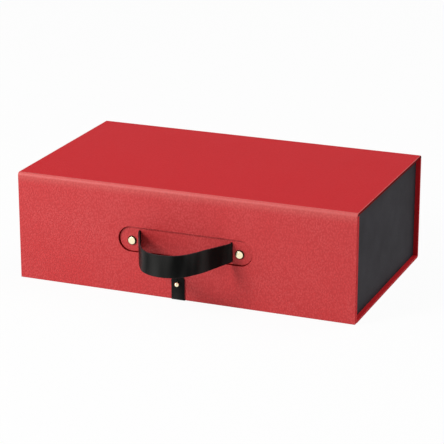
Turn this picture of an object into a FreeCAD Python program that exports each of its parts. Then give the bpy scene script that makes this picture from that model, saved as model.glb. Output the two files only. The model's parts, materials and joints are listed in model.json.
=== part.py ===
"""Magnetic gift box: a book-style case of four wrapped boards around a fixed tray.

Millimetres. +Z is up, the flap with the handle faces -Y, and the origin is the
centre of the underside. Every function makes one separate piece of the box.
"""
import FreeCAD
import Part
import math
import os

# Overall size of the closed case
WIDTH = 340.0
DEPTH = 200.0
HEIGHT = 106.4

# Sheet stock
BOARD = 2.2
PAPER = 0.3
STAY_TAPE = 0.2
LEATHER = 1.6
TAB_LEATHER = 1.2
CUT_OVER = 1.0

# Case: boards, turned-in borders and the bends of the covering paper
CASE_T = BOARD + 2 * PAPER
FLAP_T = 5.5
FLAP_LIFT = 0.4
FOLD_R = 3.0
HINGE_OFFSET = 0.15
HINGE_SPLIT = 0.05
LINER_MARGIN = 4.0
BASE_BORDER = 12.0

# Tray inside the case
OVERHANG = 4.3
FIT_GAP = 0.3
TRAY_BORDER = 12.0
STAY_LEG = 12.0

# Sunken handle plate on the flap
HANDLE_X = 2.3
RECESS_Z = 54.0
RECESS_DEPTH = 2.2
RECESS_R = 12.6
RECESS_HALF = 55.0
COVER_LAP = 8.0
INNER_BOARD = 2.7

# Leather handle strap
STRAP_Z = 53.7
STRAP_W = 21.0
STRAP_HALF_SPAN = 47.0
STRAP_STRAIGHT = 3.5
EXIT_R = 5.0
EXIT_TURN = 60.0
EXIT_RUN = 0.8
COUNTER_R = 8.0
COUNTER_TURN = 45.0
FLANK_R = 119.0
FLANK_TURN = 18.0
SWING = 12.0
SWING_SPARE = 0.5
PIVOT_BEHIND = 1.7
SLIT_GAP_X = 0.3
SLIT_HALF_H = 11.3
TAIL_END = 62.0
TAIL_T = 1.5
TAIL_CORNER = 4.0
POCKET_GAP = 0.2

# Handle rivets
RIVET_HALF_SPAN = 54.3
RIVET_Z = 52.5
RIVET_HEAD_R = 4.5
RIVET_HEAD_H = 2.0
RIVET_STEM_R = 1.7
RIVET_POST_R = 1.1
RIVET_FLANGE_R = 4.2
RIVET_FLANGE_T = 0.5
BORE_GAP = 0.05
SHEET_GAP = 0.1

# Closing tab and its ball stud
TAB_X = -4.3
TAB_W = 13.4
TAB_TOP = 26.0
TAB_GAP = 0.05
TAB_BEND_R = 1.1
TAIL_RUN = 34.0
TAIL_RECESS = 1.3
TAIL_SIDE_GAP = 0.4
TAB_NOTCH = 1.6
STUD_Z = 16.6
STUD_BALL_R = 2.4
STUD_BALL_OUT = 3.4
STUD_NECK_R = 1.2
STUD_FLANGE_R = 3.7
STUD_FLANGE_T = 0.8
STUD_HOLE_R = 1.7
STUD_SLIT_W = 0.5
STUD_SLIT_LEN = 5.0
SCREW_R = 0.8
SCREW_HEAD_R = 3.0
SCREW_HEAD_T = 0.8
SCREW_BITE = 1.0

# Rivets that anchor the tab under the base
ANCHOR_FROM_FRONT = (20.5, 28.5)
ANCHOR_HEAD_R = 2.2
ANCHOR_HEAD_T = 0.5
ANCHOR_STEM_R = 1.1
ANCHOR_FLANGE_T = 0.25

# Magnets in the flap and the steel keepers in the tray wall behind them
MAGNET_X = 115.0
MAGNET_Z = 32.0
MAGNET_R = 6.0
MAGNET_T = 1.5
KEEPER_R = 7.5
KEEPER_T = 0.8

# Planes that several pieces share
HALF_W = WIDTH / 2
Y_FRONT = -DEPTH / 2
Y_BACK = DEPTH / 2
FLAP_BACK = Y_FRONT + FLAP_T
TRAY_FRONT = FLAP_BACK + FIT_GAP
SPINE_IN = Y_BACK - CASE_T
LID_UNDER = HEIGHT - CASE_T
FOLD_TOP = HEIGHT - FOLD_R
BOARD_FRONT = Y_FRONT + FOLD_R
BOARD_BACK = Y_BACK - FOLD_R
TRAY_HALF_W = HALF_W - OVERHANG
TRAY_TOP = LID_UNDER - FIT_GAP
TRAY_WALL_OUT = PAPER + STAY_TAPE
TRAY_WALL_IN = TRAY_WALL_OUT + BOARD
TRAY_SKIN_IN = TRAY_WALL_IN + PAPER
RECESS_FLOOR = Y_FRONT + RECESS_DEPTH
COVER_BACK = RECESS_FLOOR + PAPER
INNER_BACK = COVER_BACK + INNER_BOARD
TAIL_FRONT = INNER_BACK - TAIL_T - SHEET_GAP
STRAP_PIVOT_Y = RECESS_FLOOR + PIVOT_BEHIND
TAB_FACE = Y_FRONT - TAB_GAP - TAB_LEATHER


def box(x0, x1, y0, y1, z0, z1):
    """Block between two corners."""
    corner = FreeCAD.Vector(x0, y0, z0)
    return Part.makeBox(x1 - x0, y1 - y0, z1 - z0, corner)


def rod(radius, x, z, y0, y1):
    """Round bar along Y."""
    start = FreeCAD.Vector(x, y0, z)
    return Part.makeCylinder(radius, y1 - y0, start, FreeCAD.Vector(0, 1, 0))


def peg(radius, x, y, z0, z1):
    """Round bar along Z."""
    return Part.makeCylinder(radius, z1 - z0, FreeCAD.Vector(x, y, z0))


def prism_x(points, x0, x1):
    """Outline of (y, z) points pushed along X."""
    corners = [FreeCAD.Vector(x0, y, z) for y, z in points]
    wire = Part.makePolygon(corners + corners[:1])
    return Part.Face(wire).extrude(FreeCAD.Vector(x1 - x0, 0, 0))


def stadium(radius, half_run, y0, y1):
    """Long round-ended slug along X on the handle's centre, through the flap."""
    left = HANDLE_X - half_run
    right = HANDLE_X + half_run
    ends = rod(radius, left, RECESS_Z, y0, y1).fuse(rod(radius, right, RECESS_Z, y0, y1))
    middle = box(left, right, y0, y1, RECESS_Z - radius, RECESS_Z + radius)
    return ends.fuse(middle).removeSplitter()


def fold_strip(side, low, high):
    """Paper bend along a top edge of the case, between two angles above the horizontal."""
    centre_y = side * BOARD_BACK
    axis = FreeCAD.Vector(1, 0, 0)
    centre = FreeCAD.Vector(-HALF_W, centre_y, FOLD_TOP)
    outer = Part.makeCylinder(FOLD_R, WIDTH, centre, axis)
    ring = outer.cut(Part.makeCylinder(FOLD_R - PAPER, WIDTH, centre, axis))
    reach = 2 * FOLD_R
    corners = [(centre_y, FOLD_TOP)]
    for angle in (low, high):
        turn = math.radians(angle)
        corners.append((centre_y + side * reach * math.cos(turn), FOLD_TOP + reach * math.sin(turn)))
    return ring.common(prism_x(corners, -HALF_W, HALF_W))


def split_angle():
    """Angle that half the split between two halves of a bend takes up."""
    return math.degrees(HINGE_SPLIT / 2 / FOLD_R)


def tail_recess(y0, y1, spare):
    """Channel under the case that takes the fixed end of the closing tab."""
    half = TAB_W / 2 + TAIL_SIDE_GAP + spare
    return box(TAB_X - half, TAB_X + half, y0, y1 + spare, -CUT_OVER, TAIL_RECESS + spare)


def tail_back_end():
    """Y where the fixed end of the closing tab stops."""
    return Y_FRONT + TAIL_RUN


def base_board():
    """Greyboard panel under the tray."""
    panel = box(-HALF_W + PAPER, HALF_W - PAPER, TRAY_FRONT + PAPER, BOARD_BACK, PAPER, PAPER + BOARD)
    panel = panel.cut(tail_recess(Y_FRONT, tail_back_end() + TAIL_SIDE_GAP, PAPER))
    for y in anchor_rows():
        panel = panel.cut(peg(ANCHOR_STEM_R + BORE_GAP, TAB_X, y, 0, CASE_T))
    return panel


def base_wrap():
    """Red paper around the base board, with the bend at the back."""
    plate = box(-HALF_W, HALF_W, TRAY_FRONT, Y_BACK, 0, CASE_T)
    plate = plate.fuse(box(-HALF_W, HALF_W, SPINE_IN, Y_BACK, 0, FOLD_R))
    corner = box(-HALF_W, HALF_W, BOARD_BACK, Y_BACK, 0, FOLD_R)
    centre = FreeCAD.Vector(-HALF_W, BOARD_BACK, FOLD_R)
    bend = Part.makeCylinder(FOLD_R, WIDTH, centre, FreeCAD.Vector(1, 0, 0))
    plate = plate.cut(corner.cut(bend))
    inside = centre + FreeCAD.Vector(PAPER, 0, 0)
    hollow = Part.makeCylinder(FOLD_R - PAPER, WIDTH - 2 * PAPER, inside, FreeCAD.Vector(1, 0, 0))
    hollow = hollow.common(box(-HALF_W, HALF_W, BOARD_BACK, Y_BACK - PAPER, PAPER, FOLD_R))
    plate = plate.cut(hollow)
    plate = plate.cut(tail_recess(Y_FRONT, tail_back_end() + TAIL_SIDE_GAP, 0))
    plate = plate.cut(base_board())
    half = HALF_W - BASE_BORDER
    front = TRAY_FRONT + BASE_BORDER
    plate = plate.cut(box(-half, half, front, SPINE_IN, PAPER + BOARD, CASE_T))
    for y in anchor_rows():
        plate = plate.cut(peg(ANCHOR_STEM_R + BORE_GAP, TAB_X, y, 0, CASE_T))
    return plate.removeSplitter()


def spine_board():
    """Greyboard panel behind the tray."""
    return box(-HALF_W + PAPER, HALF_W - PAPER, Y_BACK - PAPER - BOARD, Y_BACK - PAPER, FOLD_R, FOLD_TOP)


def spine_wrap():
    """Red paper around the spine board, up to the middle of the top bend."""
    skin = box(-HALF_W, HALF_W, SPINE_IN, Y_BACK, FOLD_R, FOLD_TOP)
    skin = skin.cut(spine_board())
    half = HALF_W - BASE_BORDER
    skin = skin.cut(box(-half, half, SPINE_IN, SPINE_IN + PAPER, FOLD_R, FOLD_TOP))
    return skin.fuse(fold_strip(1, 0, 45 - split_angle())).removeSplitter()


def lid_board():
    """Greyboard panel on top."""
    top = HEIGHT - PAPER
    return box(-HALF_W + PAPER, HALF_W - PAPER, BOARD_FRONT, BOARD_BACK, top - BOARD, top)


def lid_wrap():
    """Red paper around the lid board, with half of each bend."""
    skin = box(-HALF_W, HALF_W, BOARD_FRONT, BOARD_BACK, LID_UNDER, HEIGHT)
    skin = skin.cut(lid_board())
    half = HALF_W - LINER_MARGIN
    skin = skin.cut(box(-half, half, BOARD_FRONT, BOARD_BACK, LID_UNDER, LID_UNDER + PAPER))
    for side in (-1, 1):
        skin = skin.fuse(fold_strip(side, 45 + split_angle(), 90))
    return skin.removeSplitter()


def lid_liner():
    """Black paper inside the lid."""
    half = HALF_W - LINER_MARGIN - BORE_GAP
    return box(-half, half, BOARD_FRONT, BOARD_BACK, LID_UNDER, LID_UNDER + PAPER)


def tab_notch(spare):
    """Relief in the flap's lower edge where the closing tab passes under it."""
    half = TAB_W / 2 + TAIL_SIDE_GAP + spare
    return box(TAB_X - half, TAB_X + half, Y_FRONT - CUT_OVER, FLAP_BACK + CUT_OVER, 0, TAB_NOTCH + spare)


def stud_bore(radius, y0, y1):
    """Hole through the flap on the ball stud's axis."""
    return rod(radius, TAB_X, STUD_Z, y0, y1)


def flap_outer_board():
    """Front greyboard panel of the flap, with the die-cut handle window."""
    front = Y_FRONT + PAPER
    panel = box(-HALF_W + PAPER, HALF_W - PAPER, front, COVER_BACK, FLAP_LIFT + PAPER, FOLD_TOP)
    panel = panel.cut(stadium(RECESS_R + PAPER, RECESS_HALF, front, COVER_BACK))
    panel = panel.cut(cover_blank(BORE_GAP))
    panel = panel.cut(tab_notch(PAPER))
    panel = panel.cut(stud_bore(STUD_FLANGE_R, front, Y_FRONT + STUD_FLANGE_T))
    return panel.cut(stud_bore(SCREW_R + BORE_GAP, front, COVER_BACK))


def cover_blank(spare):
    """Outline of the red patch that covers the floor of the handle window."""
    half_x = RECESS_HALF + RECESS_R + COVER_LAP + spare
    half_z = RECESS_R + COVER_LAP + spare
    return box(HANDLE_X - half_x, HANDLE_X + half_x, RECESS_FLOOR, COVER_BACK,
               RECESS_Z - half_z, RECESS_Z + half_z)


def slit(side, y0, y1):
    """Vertical slit that the strap passes through."""
    outer = HANDLE_X + side * (STRAP_HALF_SPAN + SLIT_GAP_X)
    inner = HANDLE_X + side * (STRAP_HALF_SPAN - LEATHER - SLIT_GAP_X)
    return box(min(outer, inner), max(outer, inner), y0, y1, STRAP_Z - SLIT_HALF_H, STRAP_Z + SLIT_HALF_H)


def rivet_x(side):
    """X of a handle rivet."""
    return HANDLE_X + side * RIVET_HALF_SPAN


def recess_cover():
    """Red paper patch on the floor of the handle window."""
    patch = cover_blank(0)
    for side in (-1, 1):
        patch = patch.cut(slit(side, RECESS_FLOOR, COVER_BACK))
        patch = patch.cut(rod(RIVET_STEM_R + BORE_GAP, rivet_x(side), RIVET_Z, RECESS_FLOOR, COVER_BACK))
    return patch


def tail_outline(side, y0, y1, spare):
    """Flat end of the strap behind the inner board, round at its far corners."""
    near = STRAP_HALF_SPAN + SHEET_GAP
    if spare:
        near = STRAP_HALF_SPAN - LEATHER - SLIT_GAP_X
    far = TAIL_END + spare
    half = STRAP_W / 2 + spare
    x0 = min(HANDLE_X + side * near, HANDLE_X + side * far)
    x1 = max(HANDLE_X + side * near, HANDLE_X + side * far)
    tail = box(x0, x1, y0, y1, STRAP_Z - half, STRAP_Z + half)
    far_x = HANDLE_X + side * far
    corners = [edge for edge in tail.Edges if is_cross_edge(edge, far_x)]
    return tail.makeFillet(TAIL_CORNER, corners)


def is_cross_edge(edge, x):
    """True for an edge along Y at the given X."""
    ends = [vertex.Point for vertex in edge.Vertexes]
    return all(abs(p.x - x) < BORE_GAP for p in ends) and abs(ends[0].z - ends[1].z) < BORE_GAP


def flap_inner_board():
    """Back greyboard panel of the flap, which holds the handle and the magnets."""
    panel = box(-HALF_W + PAPER, HALF_W - PAPER, COVER_BACK, INNER_BACK, FLAP_LIFT + PAPER, FOLD_TOP)
    for side in (-1, 1):
        panel = panel.cut(slit(side, COVER_BACK, INNER_BACK))
        panel = panel.cut(tail_outline(side, TAIL_FRONT, INNER_BACK, POCKET_GAP))
        panel = panel.cut(rod(RIVET_STEM_R + BORE_GAP, rivet_x(side), RIVET_Z, COVER_BACK, INNER_BACK))
        panel = panel.cut(rod(MAGNET_R + BORE_GAP, side * MAGNET_X, MAGNET_Z, INNER_BACK - MAGNET_T, INNER_BACK))
    panel = panel.cut(tab_notch(PAPER))
    panel = panel.cut(stud_bore(SCREW_R + BORE_GAP, COVER_BACK, INNER_BACK))
    return panel.cut(stud_bore(SCREW_HEAD_R + BORE_GAP, INNER_BACK - SCREW_HEAD_T, INNER_BACK))


def flap_wrap():
    """Red paper around the flap, turned into the handle window and up to the top bend."""
    skin = box(-HALF_W, HALF_W, Y_FRONT, FLAP_BACK, FLAP_LIFT, FOLD_TOP)
    core = box(-HALF_W + PAPER, HALF_W - PAPER, Y_FRONT + PAPER, INNER_BACK, FLAP_LIFT + PAPER, FOLD_TOP)
    skin = skin.cut(core.cut(tab_notch(PAPER)))
    half = HALF_W - LINER_MARGIN
    skin = skin.cut(box(-half, half, INNER_BACK, FLAP_BACK, FLAP_LIFT + LINER_MARGIN, FOLD_TOP))
    lining = stadium(RECESS_R + PAPER, RECESS_HALF, Y_FRONT, RECESS_FLOOR)
    skin = skin.fuse(lining).cut(stadium(RECESS_R, RECESS_HALF, Y_FRONT, RECESS_FLOOR))
    skin = skin.cut(tab_notch(0))
    skin = skin.cut(stud_bore(STUD_FLANGE_R, Y_FRONT, Y_FRONT + PAPER))
    return skin.fuse(fold_strip(-1, 0, 45 - split_angle())).removeSplitter()


def flap_liner():
    """Black paper on the inside of the flap."""
    half = HALF_W - LINER_MARGIN - BORE_GAP
    bottom = FLAP_LIFT + LINER_MARGIN + BORE_GAP
    return box(-half, half, INNER_BACK, FLAP_BACK, bottom, FOLD_TOP)


def flap_magnets():
    """Two disc magnets let into the flap."""
    front = INNER_BACK - MAGNET_T
    return group([rod(MAGNET_R, side * MAGNET_X, MAGNET_Z, front, INNER_BACK) for side in (-1, 1)])


def rivet_caps():
    """Two domed brass heads with hollow stems."""
    caps = []
    for side in (-1, 1):
        sphere_r = (RIVET_HEAD_R ** 2 + RIVET_HEAD_H ** 2) / (2 * RIVET_HEAD_H)
        centre = FreeCAD.Vector(rivet_x(side), RECESS_FLOOR - RIVET_HEAD_H + sphere_r, RIVET_Z)
        dome = Part.makeSphere(sphere_r, centre)
        dome = dome.common(rod(RIVET_HEAD_R, rivet_x(side), RIVET_Z, RECESS_FLOOR - sphere_r, RECESS_FLOOR))
        stem_end = INNER_BACK - RIVET_FLANGE_T - BORE_GAP
        stem = rod(RIVET_STEM_R, rivet_x(side), RIVET_Z, RECESS_FLOOR, stem_end)
        bore = rod(RIVET_POST_R + BORE_GAP, rivet_x(side), RIVET_Z, RECESS_FLOOR, stem_end)
        caps.append(dome.fuse(stem).cut(bore))
    return group(caps)


def rivet_posts():
    """Two flanged posts that close the rivets from inside the flap."""
    posts = []
    for side in (-1, 1):
        back = INNER_BACK - BORE_GAP
        flange = rod(RIVET_FLANGE_R, rivet_x(side), RIVET_Z, back - RIVET_FLANGE_T, back)
        post = rod(RIVET_POST_R, rivet_x(side), RIVET_Z, RECESS_FLOOR + BORE_GAP, back)
        posts.append(flange.fuse(post).removeSplitter())
    return group(posts)


def strap_tails():
    """The two flat ends of the strap, riveted behind the inner board."""
    tails = []
    back = TAIL_FRONT + TAIL_T
    for side in (-1, 1):
        tail = tail_outline(side, TAIL_FRONT, back, 0)
        tail = tail.cut(rod(RIVET_STEM_R + BORE_GAP, rivet_x(side), RIVET_Z, TAIL_FRONT, back))
        flange_front = INNER_BACK - BORE_GAP - RIVET_FLANGE_T
        tail = tail.cut(rod(RIVET_FLANGE_R + BORE_GAP, rivet_x(side), RIVET_Z, flange_front - BORE_GAP, INNER_BACK))
        tails.append(tail)
    return group(tails)


class StrapWalk:
    """Walks along the strap in plan and lays its outer and inner faces side by side."""

    def __init__(self, x, y):
        self.place = FreeCAD.Vector(x, y, 0)
        self.lean = 0.0
        self.outer = []
        self.inner = []

    def heading(self, lean):
        """Unit vector along the strap; a lean of 0 points straight out of the flap."""
        turn = math.radians(lean)
        return FreeCAD.Vector(-math.sin(turn), -math.cos(turn), 0)

    def inward(self, lean):
        """Unit vector from the outer face to the inner one."""
        turn = math.radians(lean)
        return FreeCAD.Vector(-math.cos(turn), math.sin(turn), 0)

    def run(self, length):
        """Straight stretch."""
        start = self.place
        end = start + self.heading(self.lean) * length
        shift = self.inward(self.lean) * LEATHER
        self.outer.append(Part.makeLine(start, end))
        self.inner.append(Part.makeLine(start + shift, end + shift))
        self.place = end

    def bend(self, radius, turn):
        """Arc of the outer face's radius; a positive turn leans further inwards."""
        side = 1 if turn > 0 else -1
        centre = self.place + self.inward(self.lean) * radius * side
        for edges, reach in ((self.outer, radius), (self.inner, radius - side * LEATHER)):
            points = []
            for part in (0.0, 0.5, 1.0):
                points.append(centre - self.inward(self.lean + turn * part) * reach * side)
            edges.append(Part.Arc(*points).toShape())
        self.lean = self.lean + turn
        self.place = centre - self.inward(self.lean) * radius * side


def crown_radius():
    """Radius of the arc over the top of the bow, so that it meets its mirror image."""
    half = StrapWalk(STRAP_HALF_SPAN, 0)
    walk_flank(half)
    return half.place.x / math.cos(math.radians(half.lean))


def walk_flank(walk):
    """From a slit to the start of the crown."""
    walk.run(PIVOT_BEHIND + STRAP_STRAIGHT)
    walk.bend(EXIT_R, EXIT_TURN)
    walk.run(EXIT_RUN)
    walk.bend(COUNTER_R, -COUNTER_TURN)
    walk.bend(FLANK_R, FLANK_TURN)


def handle_strap():
    """Leather bow, with ends shaped to tip up and down in their slits."""
    radius = crown_radius()
    walk = StrapWalk(HANDLE_X + STRAP_HALF_SPAN, STRAP_PIVOT_Y)
    walk_flank(walk)
    crown_lean = EXIT_TURN - COUNTER_TURN + FLANK_TURN
    walk.bend(radius, 2 * (90 - crown_lean))
    walk.bend(FLANK_R, FLANK_TURN)
    walk.bend(COUNTER_R, -COUNTER_TURN)
    walk.run(EXIT_RUN)
    walk.bend(EXIT_R, EXIT_TURN)
    walk.run(PIVOT_BEHIND + STRAP_STRAIGHT)
    first = Part.makeLine(walk.inner[0].Vertexes[0].Point, walk.outer[0].Vertexes[0].Point)
    last = Part.makeLine(walk.outer[-1].Vertexes[-1].Point, walk.inner[-1].Vertexes[-1].Point)
    edges = Part.__sortEdges__(walk.outer + [last] + walk.inner + [first])
    face = Part.Face(Part.Wire(edges))
    strip = face.extrude(FreeCAD.Vector(0, 0, STRAP_W))
    strip.translate(FreeCAD.Vector(0, 0, STRAP_Z - STRAP_W / 2))
    return strip.common(swing_space())


def swing_space():
    """Room in front of the two planes that the strap's end edges are cut to."""
    half = STRAP_W
    ease = half * math.tan(math.radians(SWING + SWING_SPARE))
    far = STRAP_PIVOT_Y - DEPTH
    outline = [(STRAP_PIVOT_Y, STRAP_Z), (STRAP_PIVOT_Y - ease, STRAP_Z + half), (far, STRAP_Z + half),
               (far, STRAP_Z - half), (STRAP_PIVOT_Y - ease, STRAP_Z - half)]
    return prism_x(outline, -HALF_W, HALF_W)


def closing_stud():
    """Brass ball stud with its flange let into the flap."""
    flange = stud_bore(STUD_FLANGE_R - BORE_GAP, Y_FRONT, Y_FRONT + STUD_FLANGE_T)
    ball_y = Y_FRONT - STUD_BALL_OUT
    neck = stud_bore(STUD_NECK_R, ball_y, Y_FRONT)
    ball = Part.makeSphere(STUD_BALL_R, FreeCAD.Vector(TAB_X, ball_y, STUD_Z))
    thread = stud_bore(SCREW_R + BORE_GAP, Y_FRONT - SCREW_BITE - BORE_GAP, Y_FRONT + STUD_FLANGE_T)
    return flange.fuse(neck).fuse(ball).cut(thread).removeSplitter()


def stud_screw():
    """Screw that holds the ball stud from inside the flap."""
    head = stud_bore(SCREW_HEAD_R, INNER_BACK - SCREW_HEAD_T, INNER_BACK - BORE_GAP)
    shank = stud_bore(SCREW_R, Y_FRONT - SCREW_BITE, INNER_BACK - SCREW_HEAD_T)
    return head.fuse(shank).removeSplitter()


def closing_tab():
    """Leather tab buttoned over the flap, with its stud hole and slit."""
    inner = Y_FRONT - TAB_GAP
    half = TAB_W / 2
    tab = box(TAB_X - half, TAB_X + half, TAB_FACE, inner, TAB_GAP, TAB_TOP - half)
    tab = tab.fuse(rod(half, TAB_X, TAB_TOP - half, TAB_FACE, inner)).removeSplitter()
    corner = box(TAB_X - half, TAB_X + half, TAB_FACE, TAB_FACE + TAB_BEND_R, TAB_GAP, TAB_GAP + TAB_BEND_R)
    start = FreeCAD.Vector(TAB_X - half, TAB_FACE + TAB_BEND_R, TAB_GAP + TAB_BEND_R)
    bend = Part.makeCylinder(TAB_BEND_R, TAB_W, start, FreeCAD.Vector(1, 0, 0))
    tab = tab.cut(corner.cut(bend))
    tab = tab.cut(stud_bore(STUD_HOLE_R, TAB_FACE, inner))
    slit_half = STUD_SLIT_W / 2
    return tab.cut(box(TAB_X - slit_half, TAB_X + slit_half, TAB_FACE, inner, STUD_Z, STUD_Z + STUD_SLIT_LEN))


def closing_tab_tail():
    """Fixed end of the closing tab, in its channel under the base."""
    half = TAB_W / 2
    front = Y_FRONT
    tail = box(TAB_X - half, TAB_X + half, front, tail_back_end(), TAB_GAP, TAB_GAP + TAB_LEATHER)
    for y in anchor_rows():
        tail = tail.cut(peg(ANCHOR_STEM_R + BORE_GAP, TAB_X, y, 0, CASE_T))
        tail = tail.cut(peg(ANCHOR_HEAD_R + BORE_GAP, TAB_X, y, 0, TAB_GAP + ANCHOR_HEAD_T))
    return tail


def anchor_rows():
    """Y of each anchor rivet."""
    return [Y_FRONT + distance for distance in ANCHOR_FROM_FRONT]


def tab_anchor_rivets():
    """Two flat rivets through the tab's fixed end and the base board."""
    rivets = []
    for y in anchor_rows():
        head = peg(ANCHOR_HEAD_R, TAB_X, y, TAB_GAP, TAB_GAP + ANCHOR_HEAD_T)
        top = PAPER + BOARD
        stem = peg(ANCHOR_STEM_R, TAB_X, y, TAB_GAP, top)
        flange = peg(ANCHOR_HEAD_R, TAB_X, y, top, top + ANCHOR_FLANGE_T)
        rivets.append(head.fuse(stem).fuse(flange).removeSplitter())
    return group(rivets)


def tray_outline(inset):
    """X half-width and front and back Y of the tray, drawn in by an inset."""
    return TRAY_HALF_W - inset, TRAY_FRONT + inset, SPINE_IN - inset


def tray_block(inset, z0, z1):
    """Solid block with the tray's outline, drawn in by an inset."""
    half, front, back = tray_outline(inset)
    return box(-half, half, front, back, z0, z1)


def tray_floor():
    """Greyboard bottom of the tray."""
    bottom = CASE_T + PAPER
    return tray_block(TRAY_WALL_IN, bottom, bottom + BOARD)


def tray_long_wall(front):
    """Front or back greyboard wall of the tray."""
    half, y_front, y_back = tray_outline(TRAY_WALL_OUT)
    y0 = y_front if front else y_back - BOARD
    return box(-half, half, y0, y0 + BOARD, CASE_T + PAPER, TRAY_TOP - PAPER)


def tray_front_wall():
    """Front wall, with pockets for the steel keepers."""
    wall = tray_long_wall(True)
    y0 = TRAY_FRONT + TRAY_WALL_OUT
    for side in (-1, 1):
        wall = wall.cut(rod(KEEPER_R + BORE_GAP, side * MAGNET_X, MAGNET_Z, y0, y0 + KEEPER_T + BORE_GAP))
    return wall


def tray_side_wall(side):
    """Left or right greyboard wall, between the long ones."""
    outer = tray_outline(TRAY_WALL_OUT)[0]
    inner, y_front, y_back = tray_outline(TRAY_WALL_IN)
    x0 = min(side * outer, side * inner)
    x1 = max(side * outer, side * inner)
    return box(x0, x1, y_front, y_back, CASE_T + PAPER, TRAY_TOP - PAPER)


def tray_wrap():
    """Black paper over the tray's walls, turned over the rim and under the floor."""
    outside = tray_block(0, CASE_T, TRAY_TOP).cut(tray_block(PAPER, CASE_T + PAPER, TRAY_TOP - PAPER))
    outside = outside.cut(tray_block(TRAY_BORDER, CASE_T, CASE_T + PAPER))
    outside = outside.cut(tray_block(TRAY_SKIN_IN, TRAY_TOP - PAPER, TRAY_TOP))
    inner_bottom = CASE_T + PAPER + BOARD
    inside = tray_block(TRAY_WALL_IN, inner_bottom, TRAY_TOP).cut(tray_block(TRAY_SKIN_IN, inner_bottom, TRAY_TOP))
    return outside.fuse(inside).removeSplitter()


def tray_lining():
    """Black paper on the tray's floor."""
    bottom = CASE_T + PAPER + BOARD
    return tray_block(TRAY_SKIN_IN, bottom, bottom + PAPER)


def corner_stays():
    """Four paper angles that bind the tray's corners under the wrap."""
    shell = tray_block(PAPER, CASE_T + PAPER, TRAY_TOP - PAPER).cut(tray_block(TRAY_WALL_OUT, 0, HEIGHT))
    half, front, back = tray_outline(PAPER)
    stays = []
    for side in (-1, 1):
        x0 = min(side * half, side * (half - STAY_LEG))
        for y0 in (front, back - STAY_LEG):
            stays.append(shell.common(box(x0, x0 + STAY_LEG, y0, y0 + STAY_LEG, 0, HEIGHT)))
    return group(stays)


def keeper_plates():
    """Two steel discs in the tray's front wall, behind the magnets."""
    y0 = TRAY_FRONT + TRAY_WALL_OUT
    return group([rod(KEEPER_R, side * MAGNET_X, MAGNET_Z, y0, y0 + KEEPER_T) for side in (-1, 1)])


def group(solids):
    """Separate solids kept in one piece's file."""
    return Part.makeCompound(solids)


def pieces():
    """Name and shape of every separate piece."""
    return {
        "base_board": base_board(),
        "base_wrap": base_wrap(),
        "spine_board": spine_board(),
        "spine_wrap": spine_wrap(),
        "tray_floor": tray_floor(),
        "tray_front_wall": tray_front_wall(),
        "tray_back_wall": tray_long_wall(False),
        "tray_left_wall": tray_side_wall(-1),
        "tray_right_wall": tray_side_wall(1),
        "tray_wrap": tray_wrap(),
        "tray_lining": tray_lining(),
        "corner_stays": corner_stays(),
        "keeper_plates": keeper_plates(),
        "closing_tab_tail": closing_tab_tail(),
        "tab_anchor_rivets": tab_anchor_rivets(),
        "lid_board": lid_board(),
        "lid_wrap": lid_wrap(),
        "lid_liner": lid_liner(),
        "flap_outer_board": flap_outer_board(),
        "flap_inner_board": flap_inner_board(),
        "flap_wrap": flap_wrap(),
        "recess_cover": recess_cover(),
        "flap_liner": flap_liner(),
        "flap_magnets": flap_magnets(),
        "rivet_caps": rivet_caps(),
        "rivet_posts": rivet_posts(),
        "strap_tails": strap_tails(),
        "closing_stud": closing_stud(),
        "stud_screw": stud_screw(),
        "handle_strap": handle_strap(),
        "closing_tab": closing_tab(),
    }


os.makedirs("parts", exist_ok=True)
for name, shape in pieces().items():
    shape.exportStep("parts/" + name + ".step")
    print(name, "solids", len(shape.Solids), "valid", shape.isValid(), "volume", round(shape.Volume, 1))
hinge_reach = (FOLD_R + HINGE_OFFSET) * math.sqrt(0.5)
print("hinge axes at y", round(BOARD_BACK + hinge_reach, 3), "z", round(FOLD_TOP + hinge_reach, 3))
print("strap pivot at y", round(STRAP_PIVOT_Y, 3), "z", STRAP_Z)
print("tab pivot at y", round(TAB_FACE, 3), "z", TAB_GAP)
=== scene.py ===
"""Magnetic gift box: red leatherette case, black tray, leather handle and tab, brass rivets.

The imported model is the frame. Every piece made here is a paper, leather or brass skin that
stands on it, in metres and in the frame's own axes: +X right, -Y front, +Z up.
"""
import json
import logging
import math
from contextlib import contextmanager
from dataclasses import dataclass
from enum import Enum
from functools import partial
from typing import Callable, Iterator, Sequence

import bmesh
import bpy
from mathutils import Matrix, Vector


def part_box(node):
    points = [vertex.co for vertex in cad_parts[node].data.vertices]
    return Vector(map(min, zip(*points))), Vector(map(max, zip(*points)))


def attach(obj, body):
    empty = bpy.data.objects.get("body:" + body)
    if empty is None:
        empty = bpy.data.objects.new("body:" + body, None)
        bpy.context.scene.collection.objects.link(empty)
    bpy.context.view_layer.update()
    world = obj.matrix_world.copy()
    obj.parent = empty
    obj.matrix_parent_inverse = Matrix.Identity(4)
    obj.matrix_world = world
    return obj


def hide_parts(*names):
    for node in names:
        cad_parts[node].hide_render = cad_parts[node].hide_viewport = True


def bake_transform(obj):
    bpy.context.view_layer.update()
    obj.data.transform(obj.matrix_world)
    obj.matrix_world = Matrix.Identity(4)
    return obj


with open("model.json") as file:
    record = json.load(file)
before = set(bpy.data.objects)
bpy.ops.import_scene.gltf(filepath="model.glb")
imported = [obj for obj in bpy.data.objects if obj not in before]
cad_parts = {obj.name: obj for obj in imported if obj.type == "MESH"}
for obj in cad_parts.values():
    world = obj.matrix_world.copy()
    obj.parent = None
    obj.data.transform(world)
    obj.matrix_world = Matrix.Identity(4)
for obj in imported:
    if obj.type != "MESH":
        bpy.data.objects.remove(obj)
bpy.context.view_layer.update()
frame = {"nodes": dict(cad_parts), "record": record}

MM = 0.001
X_AXIS, Y_AXIS, Z_AXIS = Vector((1, 0, 0)), Vector((0, 1, 0)), Vector((0, 0, 1))
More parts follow.
